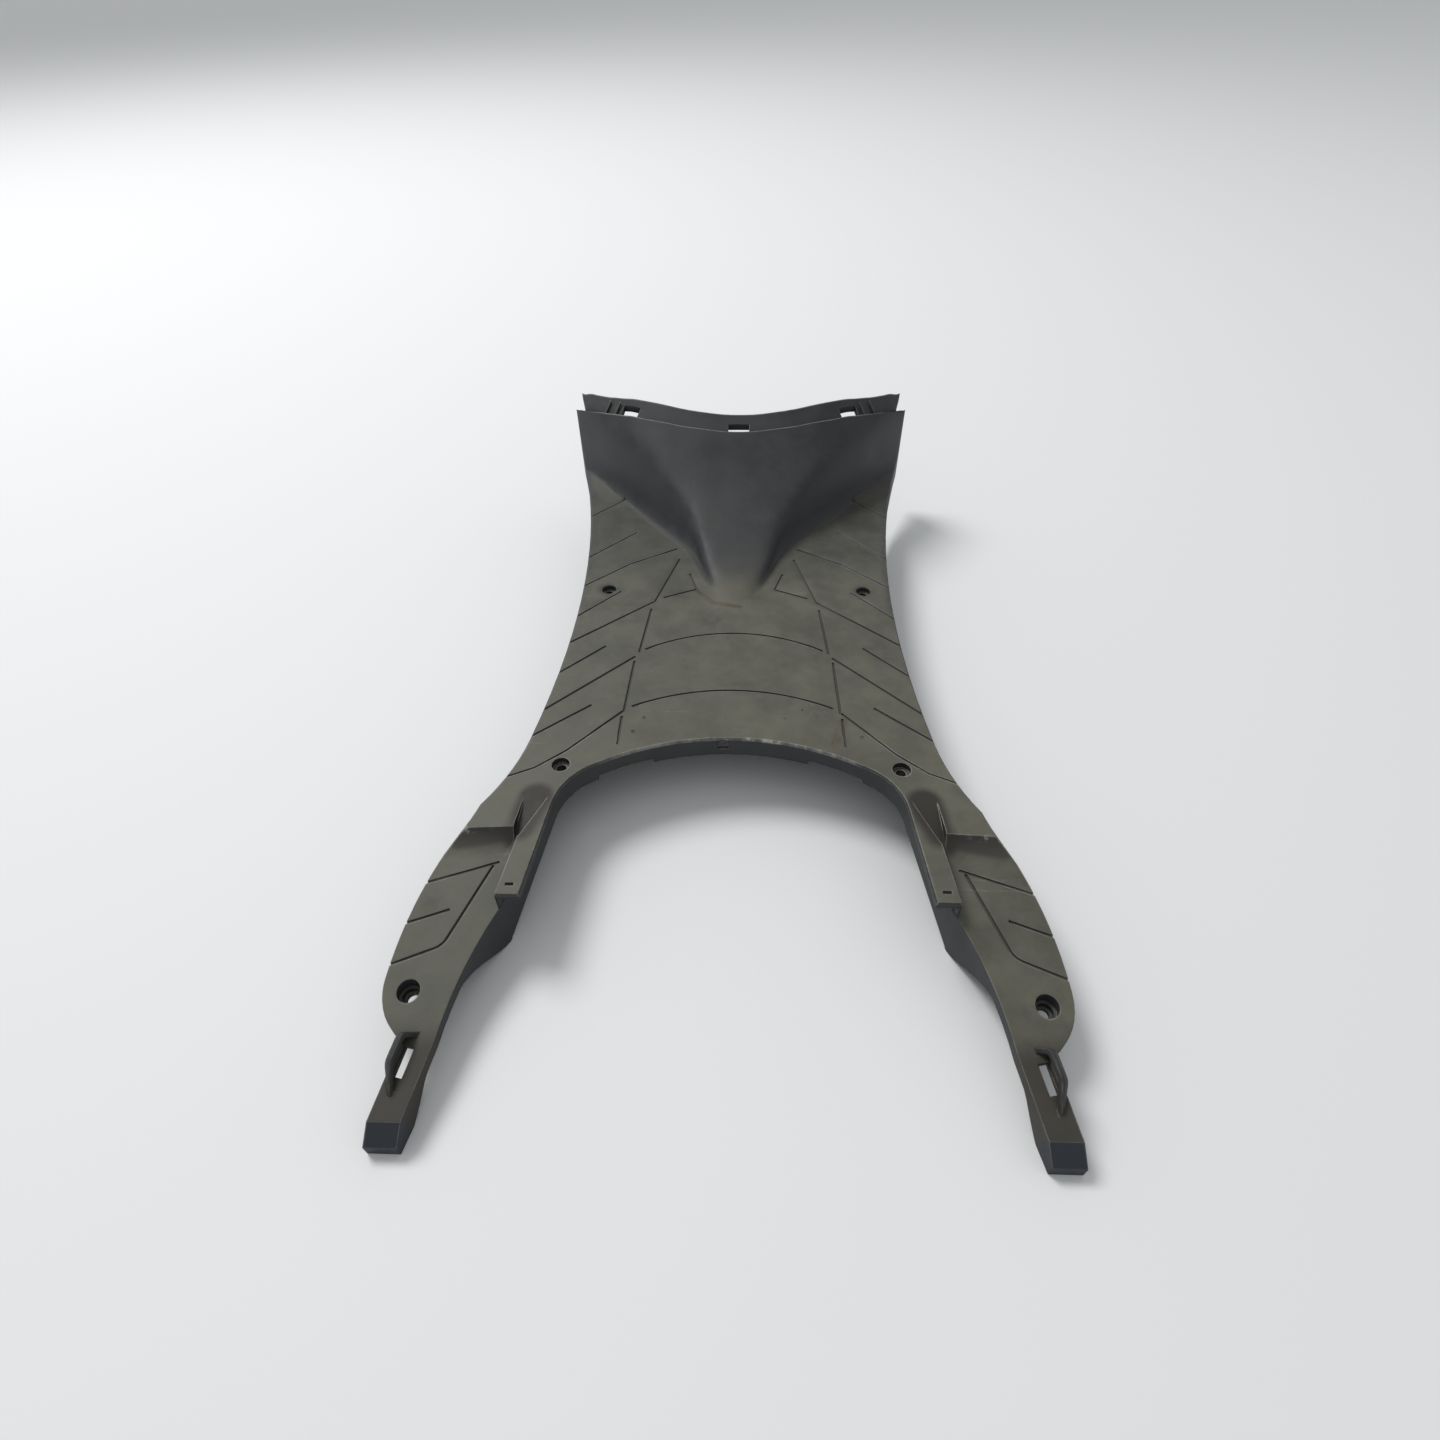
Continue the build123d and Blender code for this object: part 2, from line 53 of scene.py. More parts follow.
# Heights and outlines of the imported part
FLOOR_Z = 60.0
ARM_Z = 42.0
ARM_TOP = 52.0
ARM_TOP_Y = -187.3
ARM_FALL = 9.5
FRONT_MID_Y = 277.0
FRONT_R = 234.2
ARCH_MID = (0.0, -293.3)
ARCH_R = 200.0
ARCH_HALF = 108.0
BAR_ROOT = (201.0, -328.3)
BAR_TIP = (211.8, -385.4)
BAR_BLOCK_Y = -369.4
BAR_WALL = 3.0
HOOD_BOX = ((176.0, -366.0), (212.0, -317.0))
REAR_SCREW = (204.2, -298.5)

# Front edge: its lift by distance from the middle, and how the lift fades over hump and tongue
FRONT_LIFT = [
    (0, 2.0),
    (40, 3.0),
    (70, 2.0),
    (100, 0.8),
    (122, 2.5),
    (142, 4.8),
    (156, 6.5),
    (172, 7.5),
    (181, 6.2),
    (189, 2.8),
]
FRONT_FADE = 60.0
TONGUE_LENGTH = 21.0
TONGUE_SHARE = 0.65
TONGUE_TIP = (165.0, 183.0)

# Outer end of the step down to the arm
STEP_TIP = (201.0, -196.5)
STEP_TIP_MOVE = (-9.0, 9.0)
STEP_TIP_REACH = 48.0
STEP_TIP_ABOVE = 4.0

# Skirts of the arms and bars, and the bosses of the rear screws
SKIRT_TAPER_Y = -240.0
SKIRT_END_Y = -296.0
ARM_MIDDLE_X = 189.0
INNER_SKIRT = 9.0
OUTER_SKIRT = 7.0
OUTER_SKIRT_Y = (-359.0, -351.0)
BAR_DEEPEN_Y = -346.0
BAR_DEEPEN_BELOW = 5.0
REAR_BOSS_R = 11.5
REAR_BOSS_Z = 22.0
REAR_BOSS_SHARE = 0.18

# Fineness of the shown mesh; the weld and the smallest edge are in metres
WELD = 1e-6
SMALLEST_EDGE = 2e-6
FINE_EDGE = 7.0
FINE_PASSES = 3
HOOD_MARGIN = 0.3
HOOD_CUTS = 3
HOOD_PASSES = 9
HOOD_SMOOTHING = 0.5
SHARP_ANGLE = 32.0
TOLERANCE_Y = 0.5

# Colours as seen, 0 to 255
DUST_PALE = (98, 96, 84)
DUST_DARK = (82, 81, 71)
BARE_PALE = (54, 56, 57)
BARE_DARK = (43, 45, 47)
# Grime colour, also used as painted shade in grooves and corners
GRIME_AND_SHADE = (50, 46, 40)
# Painted shade on the undersides
UNDERSIDE_PAINTED_SHADE = (40, 42, 46)
POCKET_DARK = (41, 36, 31)
BAR_DARK = (52, 48, 43)
# Bluish painted shade on the bars' end faces
BAR_END_PAINTED_SHADE = (40, 45, 54)
HOOD_DARK = (44, 44, 44)
STEP_DARK = (56, 53, 48)
BROWN = (76, 62, 45)
FLECK_DARK = (40, 36, 30)
SPECK_DARK = (34, 31, 27)
SCRATCH_PALE = (140, 139, 132)
# Pale edge colour: painted highlight together with wear
EDGE_HIGHLIGHT_AND_WEAR = (140, 138, 130)
# Scuff colour, also used for the painted highlight line along the arch
SCUFF_AND_HIGHLIGHT = (168, 167, 160)

# Noises: size of the features, detail and roughness
BROAD = (110, 4, 0.6)
CLOUD = (34, 5, 0.62)
MOTTLE = (12, 5, 0.65)
SPECKLE = (2.6, 3, 0.6)
GRAIN = (0.7, 2, 0.5)
SCRATCHES = (5, 2, 0.5)
SCRATCH_STRETCH = (0.05, 1.0, 1.0)

# Values of the noises between which each layer comes in
BARE_PATCHES = (0.35, 0.65)
DUST_PATCHES = (0.3, 0.7)
DUST_UNEVEN = (0.3, 0.6)
SMUDGE_PATCHES = (0.36, 0.6)
TOE_PATCHES = (0.3, 0.55)
STAIN_PATCHES = (0.35, 0.6)
FLECKS = (0.69, 0.74)
FLECK_PATCHES = (0.45, 0.6)
SPECK_RAGGED = (0.35, 0.55)
SCRATCH_LINES = (0.66, 0.70)
SCRATCH_PATCHES = (0.5, 0.62)
WEAR_PATCHES = (0.4, 0.62)
SCUFF_PATCHES = (0.5, 0.6)
LINE_BROKEN = (0.4, 0.6)
CROWN_BROKEN = (0.48, 0.58)
GLOSS_PATCHES = (0.3, 0.7)

# Upward parts of the normal between which each kind of face comes in
UNDERSIDE = (-0.15, -0.5)
TOPSIDE = (0.3, 0.6)
LYING_FLAT = (0.9, 0.98)
BAR_END_SLOPE = (0.95, 0.85)
STEP_SLOPE = (0.985, 0.93)
DUST_LEVEL = (0.7, 0.99)

# How much of what lies below it each layer hides, from 0 to 1
GROOVE_SHARE = 0.7
UNDERSIDE_SHARE = 0.7
SMUDGE_SHARE = 0.4
POCKET_SHARE = 0.9
BAR_SHARE = 0.8
BAR_END_SHARE = 0.85
HOOD_SHARE = 0.85
STEP_SHARE = 0.75
TOE_SHARE = 0.8
STAIN_SHARE = 0.5
FLECK_SHARE = 0.55
SPECK_SHARE = 0.85
SCRATCH_SHARE = 0.18
SCUFF_SHARE = 0.55
WORN_MOST = 0.8

# Dust: least share where it is thin, part of the hump that stays clean, less of it to the front,
# where the darker tread by the hump's foot is partly painted shade
DUST_THIN = 0.72
DUST_BROAD = 0.6
CLEAN_SHARE = 0.9
CLEAN_Z = (60.5, 76.0)
CLEAN_Y = (20.0, 60.0)
FRONT_DUST_AND_SHADE_Y = (70.0, 200.0)
FRONT_DUST_AND_SHADE = 0.5

# Soft edges, the valley at the hump's foot and the reach of the grime and painted shade in grooves
EDGE_R = 1.5
EDGE_SAMPLES = 6
EDGE_TURN = (0.985, 0.88)
EDGE_POINTED = (0.49, 0.51)
VALLEY_R = 9.0
VALLEY_SAMPLES = 8
VALLEY_Y = (50.0, 90.0)
VALLEY_LOW_Z = (58.5, 59.5)
VALLEY_HIGH_Z = (74.0, 68.0)
GROOVE_REACH = 4.0
GROOVE_SAMPLES = 4
GROOVE_OPEN = (0.9, 0.4)

# Dark patches. A spot is a place with its inner and outer radius, a streak two places with them.
# The pockets and the steps' faces are on both sides.
SMUDGES = [
    ((126, 19, FLOOR_Z), 4, 26),
    ((-207, -238, ARM_Z), 3, 17),
    ((203, -219, ARM_Z + 2), 3, 20),
    ((70, -60, FLOOR_Z), 2, 22),
    ((-20, 60, FLOOR_Z), 2, 30),
]
POCKET = ((144, -156, FLOOR_Z - 2), (150, -186, FLOOR_Z - 8), 9, 17)
STEP_FACE = ((158, -186, 56), (194, -193, 54), 4, 9)
BAR_Y = (-312.0, -336.0)
BAR_END_Y = (-371.0, -374.0)
HOOD_ABOVE = (0.4, 2.0)
HOOD_Y = (-316.0, -318.0)

# Brown dirt at the toe of the hump and stains at the arch
TOE = [
    ((-38, 107, FLOOR_Z), (-21, 87, FLOOR_Z), 0.4, 4.5),
    ((-21, 87, FLOOR_Z), (4, 81, FLOOR_Z), 0.4, 5.0),
]
STAINS = [
    ((93, -70, FLOOR_Z), (84, -96, FLOOR_Z), 0.8, 4.0),
    ((88, -72, FLOOR_Z), (80, -98, FLOOR_Z), 0.5, 2.5),
]

# Dark specks on the tread: place and radius, and how much of the radius is full and faded
SPECKS = [
    (-71.5, -70.4, 2.0),
    (-79.1, -86.5, 2.2),
    (58.0, -59.3, 1.2),
    (43.2, -69.4, 1.1),
    (104.1, -89.8, 1.7),
    (-154.3, -153.2, 1.3),
]
SPECK_FULL = 0.4
SPECK_FADE = 1.3

# Pale wear and painted edge highlight: the arch, its crown, the steps' edges on both sides and the
# thin line on the arch, which is partly painted highlight
CROWN = ((12, -95, FLOOR_Z), 10, 55)
ARCH_REAR_Y = (-250.0, -200.0)
ARCH_FRONT_Y = (-85.0, -92.0)
ARCH_WEAR = 0.5
LEAST_WEAR = 0.35
EDGE_SHARE = 0.5
ARCH_EDGE_SHARE = 0.45
STEP_EDGE = ((157, -191, FLOOR_Z), (190, -187, FLOOR_Z), 1.5, 4.5)
LINE_OFF = (0.8, 2.6)
LINE_BELOW = (3.0, 1.0)
LINE_FROM_MID = (160.0, 180.0)
LINE_END = 20.0
LINE_LEAST = 0.12
LINE_PATCHES = 0.3
LINE_CROWN = 0.5

# Surface of the plastic
BUMP_STRENGTH = 0.12
BUMP_DEPTH = 0.5
BUMP_GRAIN = 0.5
BUMP_SPECKLE = 0.35
ROUGHNESS = (0.5, 0.66)
SPECULAR = 0.35

# Stage and light, in metres and watts apart from the gap
STAGE_SIZE = 30.0
STAGE_GAP = 0.3
STAGE_GREY = 0.80
STAGE_ROUGHNESS = 0.7
WORLD_COLOUR = (0.95, 0.98, 1.0, 1)
WORLD_LIGHT = 0.52
KEY_PLACE = (-2.4, 2.0, 4.2)
KEY_SIZE = 2.2
KEY_POWER = 165.0


def linear(red, green, blue):
    """Scene-linear colour of a display colour given from 0 to 255."""
    def channel(value):
        v = value / 255
        return v / 12.92 if v <= 0.04045 else ((v + 0.055) / 1.055) ** 2.4

    return (channel(red), channel(green), channel(blue), 1.0)


def metres(x, y, z):
    """A place given in millimetres in the part's frame."""
    return (x / 1000, y / 1000, z / 1000)


def on_side(side, place):
    """A place on the right side or its mirror image on the left."""
    return (side * place[0], *place[1:])


def blend(value, low, high):
    """0 at the low value, 1 at the high one and held outside them, with a soft step between."""
    t = min(max((value - low) / (high - low), 0), 1)
    return t * t * (3 - 2 * t)


class Nodes:
    """Short ways to write a material's node tree."""

    def __init__(self, material):
        material.use_nodes = True
        self.tree = material.node_tree
        self.tree.nodes.clear()

    def add(self, kind, **settings):
        node = self.tree.nodes.new(kind)
        for name, value in settings.items():
            setattr(node, name, value)
        return node

    def feed(self, socket, value):
        if isinstance(value, bpy.types.NodeSocket):
            self.tree.links.new(value, socket)
        else:
            socket.default_value = value

    def math(self, operation, a, b=0.0):
        node = self.add("ShaderNodeMath", operation=operation)
        self.feed(node.inputs[0], a)
        self.feed(node.inputs[1], b)
        return node.outputs[0]

    def vector(self, operation, a, b):
        node = self.add("ShaderNodeVectorMath", operation=operation)
        self.feed(node.inputs[0], a)
        self.feed(node.inputs[1], b)
        return node.outputs["Value" if operation in ("DOT_PRODUCT", "DISTANCE") else "Vector"]

    def split(self, vector):
        """The three parts of a vector."""
        node = self.add("ShaderNodeSeparateXYZ")
        self.feed(node.inputs[0], vector)
        return node.outputs["X"], node.outputs["Y"], node.outputs["Z"]

    def ramp(self, value, low, high, to_low=0.0, to_high=1.0):
        """Soft step of a value from one range to another."""
        node = self.add("ShaderNodeMapRange", interpolation_type="SMOOTHSTEP")
        self.feed(node.inputs["Value"], value)
        node.inputs["From Min"].default_value = low
        node.inputs["From Max"].default_value = high
        node.inputs["To Min"].default_value = to_low
        node.inputs["To Max"].default_value = to_high
        return node.outputs[0]

    def ramp_mm(self, value, low, high, to_low=0.0, to_high=1.0):
        """Soft step of a length, with the range in millimetres."""
        return self.ramp(value, low / 1000, high / 1000, to_low, to_high)

    def noise(self, place, size, detail, roughness, stretch=(1, 1, 1)):
        """Noise whose features are about so many millimetres across."""
        mapped = self.add("ShaderNodeMapping")
        self.feed(mapped.inputs["Vector"], place)
        mapped.inputs["Scale"].default_value = [1000 / size * s for s in stretch]
        node = self.add("ShaderNodeTexNoise")
        self.feed(node.inputs["Vector"], mapped.outputs[0])
        node.inputs["Scale"].default_value = 1.0
        node.inputs["Detail"].default_value = detail
        node.inputs["Roughness"].default_value = roughness
        return node.outputs["Fac"]

    def mix(self, factor, a, b):
        node = self.add("ShaderNodeMix", data_type="RGBA")
        self.feed(node.inputs["Factor"], factor)
        self.feed(node.inputs[6], a)
        self.feed(node.inputs[7], b)
        return node.outputs[2]

    def times(self, *factors):
        product = factors[0]
        for factor in factors[1:]:
            product = self.math("MULTIPLY", product, factor)
        return product

    def plus(self, a, b):
        return self.math("ADD", a, b)

    def most(self, *values):
        top = values[0]
        for value in values[1:]:
            top = self.math("MAXIMUM", top, value)
        return top

    def bevel(self, radius, samples):
        """Normal of the surface as if its edges were rounded."""
        node = self.add("ShaderNodeBevel", samples=samples)
        node.inputs["Radius"].default_value = radius / 1000
        return node.outputs[0]

    def spot(self, place, centre, inner, outer):
        """1 within the inner radius of a place and 0 past the outer one."""
        away = self.vector("DISTANCE", place, metres(*centre))
        return self.ramp_mm(away, inner, outer, 1.0, 0.0)

    def streak(self, place, start, end, inner, outer):
        """Like a spot, along the line between two places."""
        start, end = Vector(metres(*start)), Vector(metres(*end))
        run = end - start
        from_start = self.vector("SUBTRACT", place, start)
        clamp = self.add("ShaderNodeClamp")
        along = self.vector("DOT_PRODUCT", from_start, run / run.length_squared)
        self.feed(clamp.inputs["Value"], along)
        scaled = self.add("ShaderNodeVectorMath", operation="SCALE")
        scaled.inputs[0].default_value = run
        self.feed(scaled.inputs["Scale"], clamp.outputs[0])
        nearest = self.vector("ADD", scaled.outputs["Vector"], start)
        away = self.vector("DISTANCE", place, nearest)
        return self.ramp_mm(away, inner, outer, 1.0, 0.0)

    def both_streaks(self, place, start, end, inner, outer):
        """A streak on the right side and its mirror image on the left."""
        return [
            self.streak(place, on_side(side, start), on_side(side, end), inner, outer)
            for side in SIDES
        ]

    def surface(self, shader):
        """Ends the tree with a shader."""
        output = self.add("ShaderNodeOutputMaterial")
        self.feed(output.inputs["Surface"], shader.outputs[0])


def arm_z(y):
    """Height of the arms' and bars' sloping top."""
    return ARM_TOP + (y - ARM_TOP_Y) * math.tan(math.radians(ARM_FALL))


def bar_edge(y):
    """Distance of the bars' outer edge from the middle."""
    run = (y - BAR_ROOT[1]) / (BAR_TIP[1] - BAR_ROOT[1])
    return BAR_ROOT[0] + run * (BAR_TIP[0] - BAR_ROOT[0])


def front_lift(x, y):
    """How far the front edge is raised at a place."""
    x = min(abs(x), FRONT_LIFT[-1][0])
    edge_y = FRONT_MID_Y + FRONT_R - math.sqrt(FRONT_R ** 2 - x ** 2)
    for (x0, lift0), (x1, lift1) in zip(FRONT_LIFT, FRONT_LIFT[1:]):
        if x <= x1:
            break
    lift = lift0 + (lift1 - lift0) * blend(x, x0, x1)
    share = TONGUE_SHARE * (1 - blend(x, *TONGUE_TIP))
    lift *= 1 - (1 - share) * blend(y, edge_y, edge_y + TONGUE_LENGTH)
    return lift * blend(y, edge_y - FRONT_FADE, edge_y)


def on_hood(place):
    """Whether a point of the mesh lies on a strap hood, clear of the bar that carries it."""
    x, y, z = abs(place.x) * 1000, place.y * 1000, place.z * 1000
    (x0, y0), (x1, y1) = HOOD_BOX
    if not (x0 < x < x1 and y0 < y < y1):
        return False
    beside = y < BAR_ROOT[1] and x > bar_edge(y) + HOOD_MARGIN
    return z > arm_z(y) + HOOD_MARGIN or beside


def raised_outer_skirt(y, z):
    """Height of a point of the outer skirt, which tapers out along the arm up to the bar's end."""
    raised = blend(y, *OUTER_SKIRT_Y) * (1 - blend(y, SKIRT_END_Y, SKIRT_TAPER_Y))
    kept = (OUTER_SKIRT - BAR_WALL) / (arm_z(y) - BAR_WALL)
    depth = arm_z(y) - z
    return arm_z(y) - BAR_WALL - (depth - BAR_WALL) * (1 - raised * (1 - kept))


def ease(place):
    """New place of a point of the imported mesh."""
    side = 1 if place.x > 0 else -1
    x, y, z = abs(place.x) * 1000, place.y * 1000, place.z * 1000
    z += front_lift(x, y)
    if z > arm_z(y) + STEP_TIP_ABOVE and y < 0:
        near = 1 - blend(math.dist((x, y), STEP_TIP), 0, STEP_TIP_REACH)
        x += near * STEP_TIP_MOVE[0]
        y += near * STEP_TIP_MOVE[1]
    top_z = arm_z(y)
    if BAR_BLOCK_Y - TOLERANCE_Y < y < BAR_DEEPEN_Y and z < top_z - BAR_DEEPEN_BELOW:
        z *= max((y - BAR_BLOCK_Y) / (BAR_DEEPEN_Y - BAR_BLOCK_Y), 0)
    on_boss = math.dist((x, y), REAR_SCREW) < REAR_BOSS_R
    on_shell = not on_boss and not on_hood(place)
    outside = y < SKIRT_TAPER_Y and x > ARM_MIDDLE_X
    if outside and on_shell and top_z - z > BAR_WALL:
        z = raised_outer_skirt(y, z)
    inside = SKIRT_END_Y < y < SKIRT_TAPER_Y and x < ARM_MIDDLE_X
    if inside and z < top_z - INNER_SKIRT:
        z += (top_z - INNER_SKIRT - z) * blend(y, SKIRT_TAPER_Y, SKIRT_END_Y)
    if on_boss and z < REAR_BOSS_Z:
        z = REAR_BOSS_Z - (REAR_BOSS_Z - z) * REAR_BOSS_SHARE
    return metres(side * x, y, z)


def refine(bm):
    """Splits the long edges near the front and the bars, and rounds the strap hoods."""
    def near_front_or_bars(edge):
        ys = [v.co.y * 1000 for v in edge.verts]
        return min(ys) > FRONT_MID_Y - FRONT_FADE or max(ys) < SKIRT_TAPER_Y

    for _ in range(FINE_PASSES):
        coarse = [
            e for e in bm.edges
            if near_front_or_bars(e) and e.calc_length() * 1000 > FINE_EDGE
        ]
        bmesh.ops.subdivide_edges(bm, edges=coarse, cuts=1)
        bmesh.ops.triangulate(bm, faces=[f for f in bm.faces if len(f.verts) > 4])
    hood = [e for e in bm.edges if any(on_hood(v.co) for v in e.verts)]
    bmesh.ops.subdivide_edges(bm, edges=hood, cuts=HOOD_CUTS, use_grid_fill=True)
    bmesh.ops.triangulate(bm, faces=bm.faces)
    rounded = [v for v in bm.verts if on_hood(v.co)]
    for _ in range(HOOD_PASSES):
        bmesh.ops.smooth_vert(
            bm, verts=rounded, factor=HOOD_SMOOTHING,
            use_axis_x=True, use_axis_y=True, use_axis_z=True,
        )


def eased_board(cad):
    """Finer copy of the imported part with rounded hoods, a level front edge and tapered skirts."""
    bm = bmesh.new()
    bm.from_mesh(cad.data)
    bmesh.ops.remove_doubles(bm, verts=bm.verts, dist=WELD)
    refine(bm)
    for v in bm.verts:
        v.co = ease(v.co)
    bmesh.ops.dissolve_degenerate(bm, edges=bm.edges, dist=SMALLEST_EDGE)
    bmesh.ops.triangulate(bm, faces=[f for f in bm.faces if len(f.verts) > 4])
    bm.normal_update()
    crisp = [e for e in bm.edges if e.calc_face_angle(0) > math.radians(SHARP_ANGLE)]
    bmesh.ops.split_edges(bm, edges=crisp)
    for face in bm.faces:
        face.smooth = True
    mesh = bpy.data.meshes.new("moulding")
    bm.to_mesh(mesh)
    bm.free()
    piece = bpy.data.objects.new("moulding", mesh)
    bpy.context.scene.collection.objects.link(piece)
    return piece


class Skin:
    """What the layers of the plastic share: places, directions, noises and soft edges."""

    def __init__(self, n):
        geometry = n.add("ShaderNodeNewGeometry")
        self.place = n.add("ShaderNodeTexCoord").outputs["Object"]
        self.x, self.y, self.z = n.split(self.place)
        self.up = n.split(geometry.outputs["Normal"])[2]
        self.broad = n.noise(self.place, *BROAD)
        self.cloud = n.noise(self.place, *CLOUD)
        self.mottle = n.noise(self.place, *MOTTLE)
        self.speckle = n.noise(self.place, *SPECKLE)
        self.grain = n.noise(self.place, *GRAIN)
        rounded = n.bevel(EDGE_R, EDGE_SAMPLES)
        turn = n.vector("DOT_PRODUCT", rounded, geometry.outputs["Normal"])
        convex = n.ramp(geometry.outputs["Pointiness"], *EDGE_POINTED)
        self.edge = n.times(n.ramp(turn, *EDGE_TURN), convex)
        self.normal = self.blended_valley(n, rounded)

    def blended_valley(self, n, rounded):
        """Normal that turns gently from the tread into the hump."""
        foot = n.times(
            n.ramp_mm(self.y, *VALLEY_Y),
            n.ramp_mm(self.z, *VALLEY_LOW_Z),
            n.ramp_mm(self.z, *VALLEY_HIGH_Z),
        )
        node = n.add("ShaderNodeMix", data_type="VECTOR")
        n.feed(node.inputs["Factor"], foot)
        n.feed(node.inputs[4], rounded)
        n.feed(node.inputs[5], n.bevel(VALLEY_R, VALLEY_SAMPLES))
        return node.outputs[1]


def dusted(n, skin):
    """Bare plastic on the slopes and the hump, dust on what lies flat."""
    bare = n.mix(n.ramp(skin.cloud, *BARE_PATCHES), linear(*BARE_DARK), linear(*BARE_PALE))
    dusty = n.mix(n.ramp(skin.cloud, *DUST_PATCHES), linear(*DUST_DARK), linear(*DUST_PALE))
    uneven = n.plus(n.times(skin.broad, DUST_BROAD), n.times(skin.mottle, 1 - DUST_BROAD))
    clean = n.times(n.ramp_mm(skin.z, *CLEAN_Z), n.ramp_mm(skin.y, *CLEAN_Y))
    cover = n.times(
        n.ramp(n.split(skin.normal)[2], *DUST_LEVEL),
        n.ramp(uneven, *DUST_UNEVEN, DUST_THIN, 1.0),
        # Less dust toward the front; the darker tread by the hump's foot is partly painted shade
        n.ramp_mm(skin.y, *FRONT_DUST_AND_SHADE_Y, 1.0, FRONT_DUST_AND_SHADE),
        n.math("SUBTRACT", 1.0, n.times(clean, CLEAN_SHARE)),
    )
    return n.mix(cover, bare, dusty)


def grimed_and_shaded(n, skin, colour):
    """Grime and painted shade in grooves and corners, and painted shade on the undersides."""
    crevice = n.add("ShaderNodeAmbientOcclusion", samples=GROOVE_SAMPLES)
    crevice.inputs["Distance"].default_value = GROOVE_REACH / 1000
    # The occlusion mask paints shade as well as grime into grooves and corners
    dirt = n.ramp(crevice.outputs["AO"], *GROOVE_OPEN)
    colour = n.mix(n.times(dirt, GROOVE_SHARE), colour, linear(*GRIME_AND_SHADE))
    # Undersides are darkened as painted shade
    below = n.ramp(skin.up, *UNDERSIDE)
    return n.mix(n.times(below, UNDERSIDE_SHARE), colour, linear(*UNDERSIDE_PAINTED_SHADE))


def darkened(n, skin, colour):
    """Smudges and the dark places: pockets beside the rims, bars, the bars' ends in painted bluish
    shade, strap hoods and steps.
    """
    smudges = n.most(*[n.spot(skin.place, *smudge) for smudge in SMUDGES])
    ragged = n.ramp(skin.mottle, *SMUDGE_PATCHES)
    pockets = n.most(*n.both_streaks(skin.place, *POCKET))
    bars = n.ramp_mm(skin.y, *BAR_Y)
    # The bars' end faces get painted bluish shade
    end_shade = n.times(n.ramp_mm(skin.y, *BAR_END_Y), n.ramp(skin.up, *BAR_END_SLOPE))
    colour = n.mix(n.times(smudges, ragged, SMUDGE_SHARE), colour, linear(*GRIME_AND_SHADE))
    colour = n.mix(n.times(pockets, POCKET_SHARE), colour, linear(*POCKET_DARK))
    colour = n.mix(n.times(bars, BAR_SHARE), colour, linear(*BAR_DARK))
    colour = n.mix(n.times(end_shade, BAR_END_SHARE), colour, linear(*BAR_END_PAINTED_SHADE))

    arm_top = n.plus(n.times(skin.y, math.tan(math.radians(ARM_FALL))), arm_z(0) / 1000)
    above = n.math("SUBTRACT", skin.z, arm_top)
    hoods = n.times(n.ramp_mm(above, *HOOD_ABOVE), n.ramp_mm(skin.y, *HOOD_Y))
    colour = n.mix(n.times(hoods, HOOD_SHARE), colour, linear(*HOOD_DARK))
    steps = n.most(*n.both_streaks(skin.place, *STEP_FACE))
    sloping = n.ramp(skin.up, *STEP_SLOPE)
    return n.mix(n.times(steps, sloping, STEP_SHARE), colour, linear(*STEP_DARK))


def stained(n, skin, colour):
    """Brown dirt at the toe of the hump and stains at the arch."""
    toe = n.most(*[n.streak(skin.place, *streak) for streak in TOE])
    stains = n.most(*[n.streak(skin.place, *streak) for streak in STAINS])
    toe = n.times(toe, n.ramp(skin.mottle, *TOE_PATCHES), TOE_SHARE)
    stains = n.times(stains, n.ramp(skin.mottle, *STAIN_PATCHES), STAIN_SHARE)
    return n.mix(stains, n.mix(toe, colour, linear(*BROWN)), linear(*BROWN))


def speckled(n, skin, colour):
    """Dark flecks and specks and fine pale scratches on what lies flat."""
    flat = n.ramp(skin.up, *LYING_FLAT)
    patches = n.ramp(skin.cloud, *FLECK_PATCHES)
    flecks = n.times(n.ramp(skin.speckle, *FLECKS), patches, flat)
    colour = n.mix(n.times(flecks, FLECK_SHARE), colour, linear(*FLECK_DARK))
    specks = n.most(*[
        n.spot(skin.place, (x, y, FLOOR_Z), SPECK_FULL * r, SPECK_FADE * r) for x, y, r in SPECKS
    ])
    specks = n.times(specks, n.ramp(skin.speckle, *SPECK_RAGGED), SPECK_SHARE)
    colour = n.mix(specks, colour, linear(*SPECK_DARK))
    scratch = n.ramp(n.noise(skin.place, *SCRATCHES, SCRATCH_STRETCH), *SCRATCH_LINES)
    hair = n.times(scratch, n.ramp(skin.cloud, *SCRATCH_PATCHES), flat)
    return n.mix(n.times(hair, SCRATCH_SHARE), colour, linear(*SCRATCH_PALE))


def arch_line(n, skin, crown):
    """Thin pale line along the arch's upper edge, partly painted highlight and partly worn,
    strongest near its crown.
    """
    level = n.vector("MULTIPLY", skin.place, (1, 1, 0))
    away = n.vector("DISTANCE", level, metres(*ARCH_MID, 0))
    off = n.math("ABSOLUTE", n.math("SUBTRACT", away, ARCH_R / 1000))
    line = n.times(
        n.ramp_mm(off, *LINE_OFF, 1.0, 0.0),
        n.ramp_mm(skin.z, *[FLOOR_Z - below for below in LINE_BELOW]),
        n.ramp_mm(skin.y, *[ARCH_MID[1] + ahead for ahead in LINE_FROM_MID]),
        n.ramp_mm(n.math("ABSOLUTE", skin.x), ARCH_HALF, ARCH_HALF - LINE_END),
    )
    patches = n.times(n.ramp(skin.mottle, *LINE_BROKEN), LINE_PATCHES)
    at_crown = n.times(crown, n.ramp(skin.mottle, *CROWN_BROKEN), LINE_CROWN)
    return n.times(line, n.plus(n.plus(patches, at_crown), LINE_LEAST))


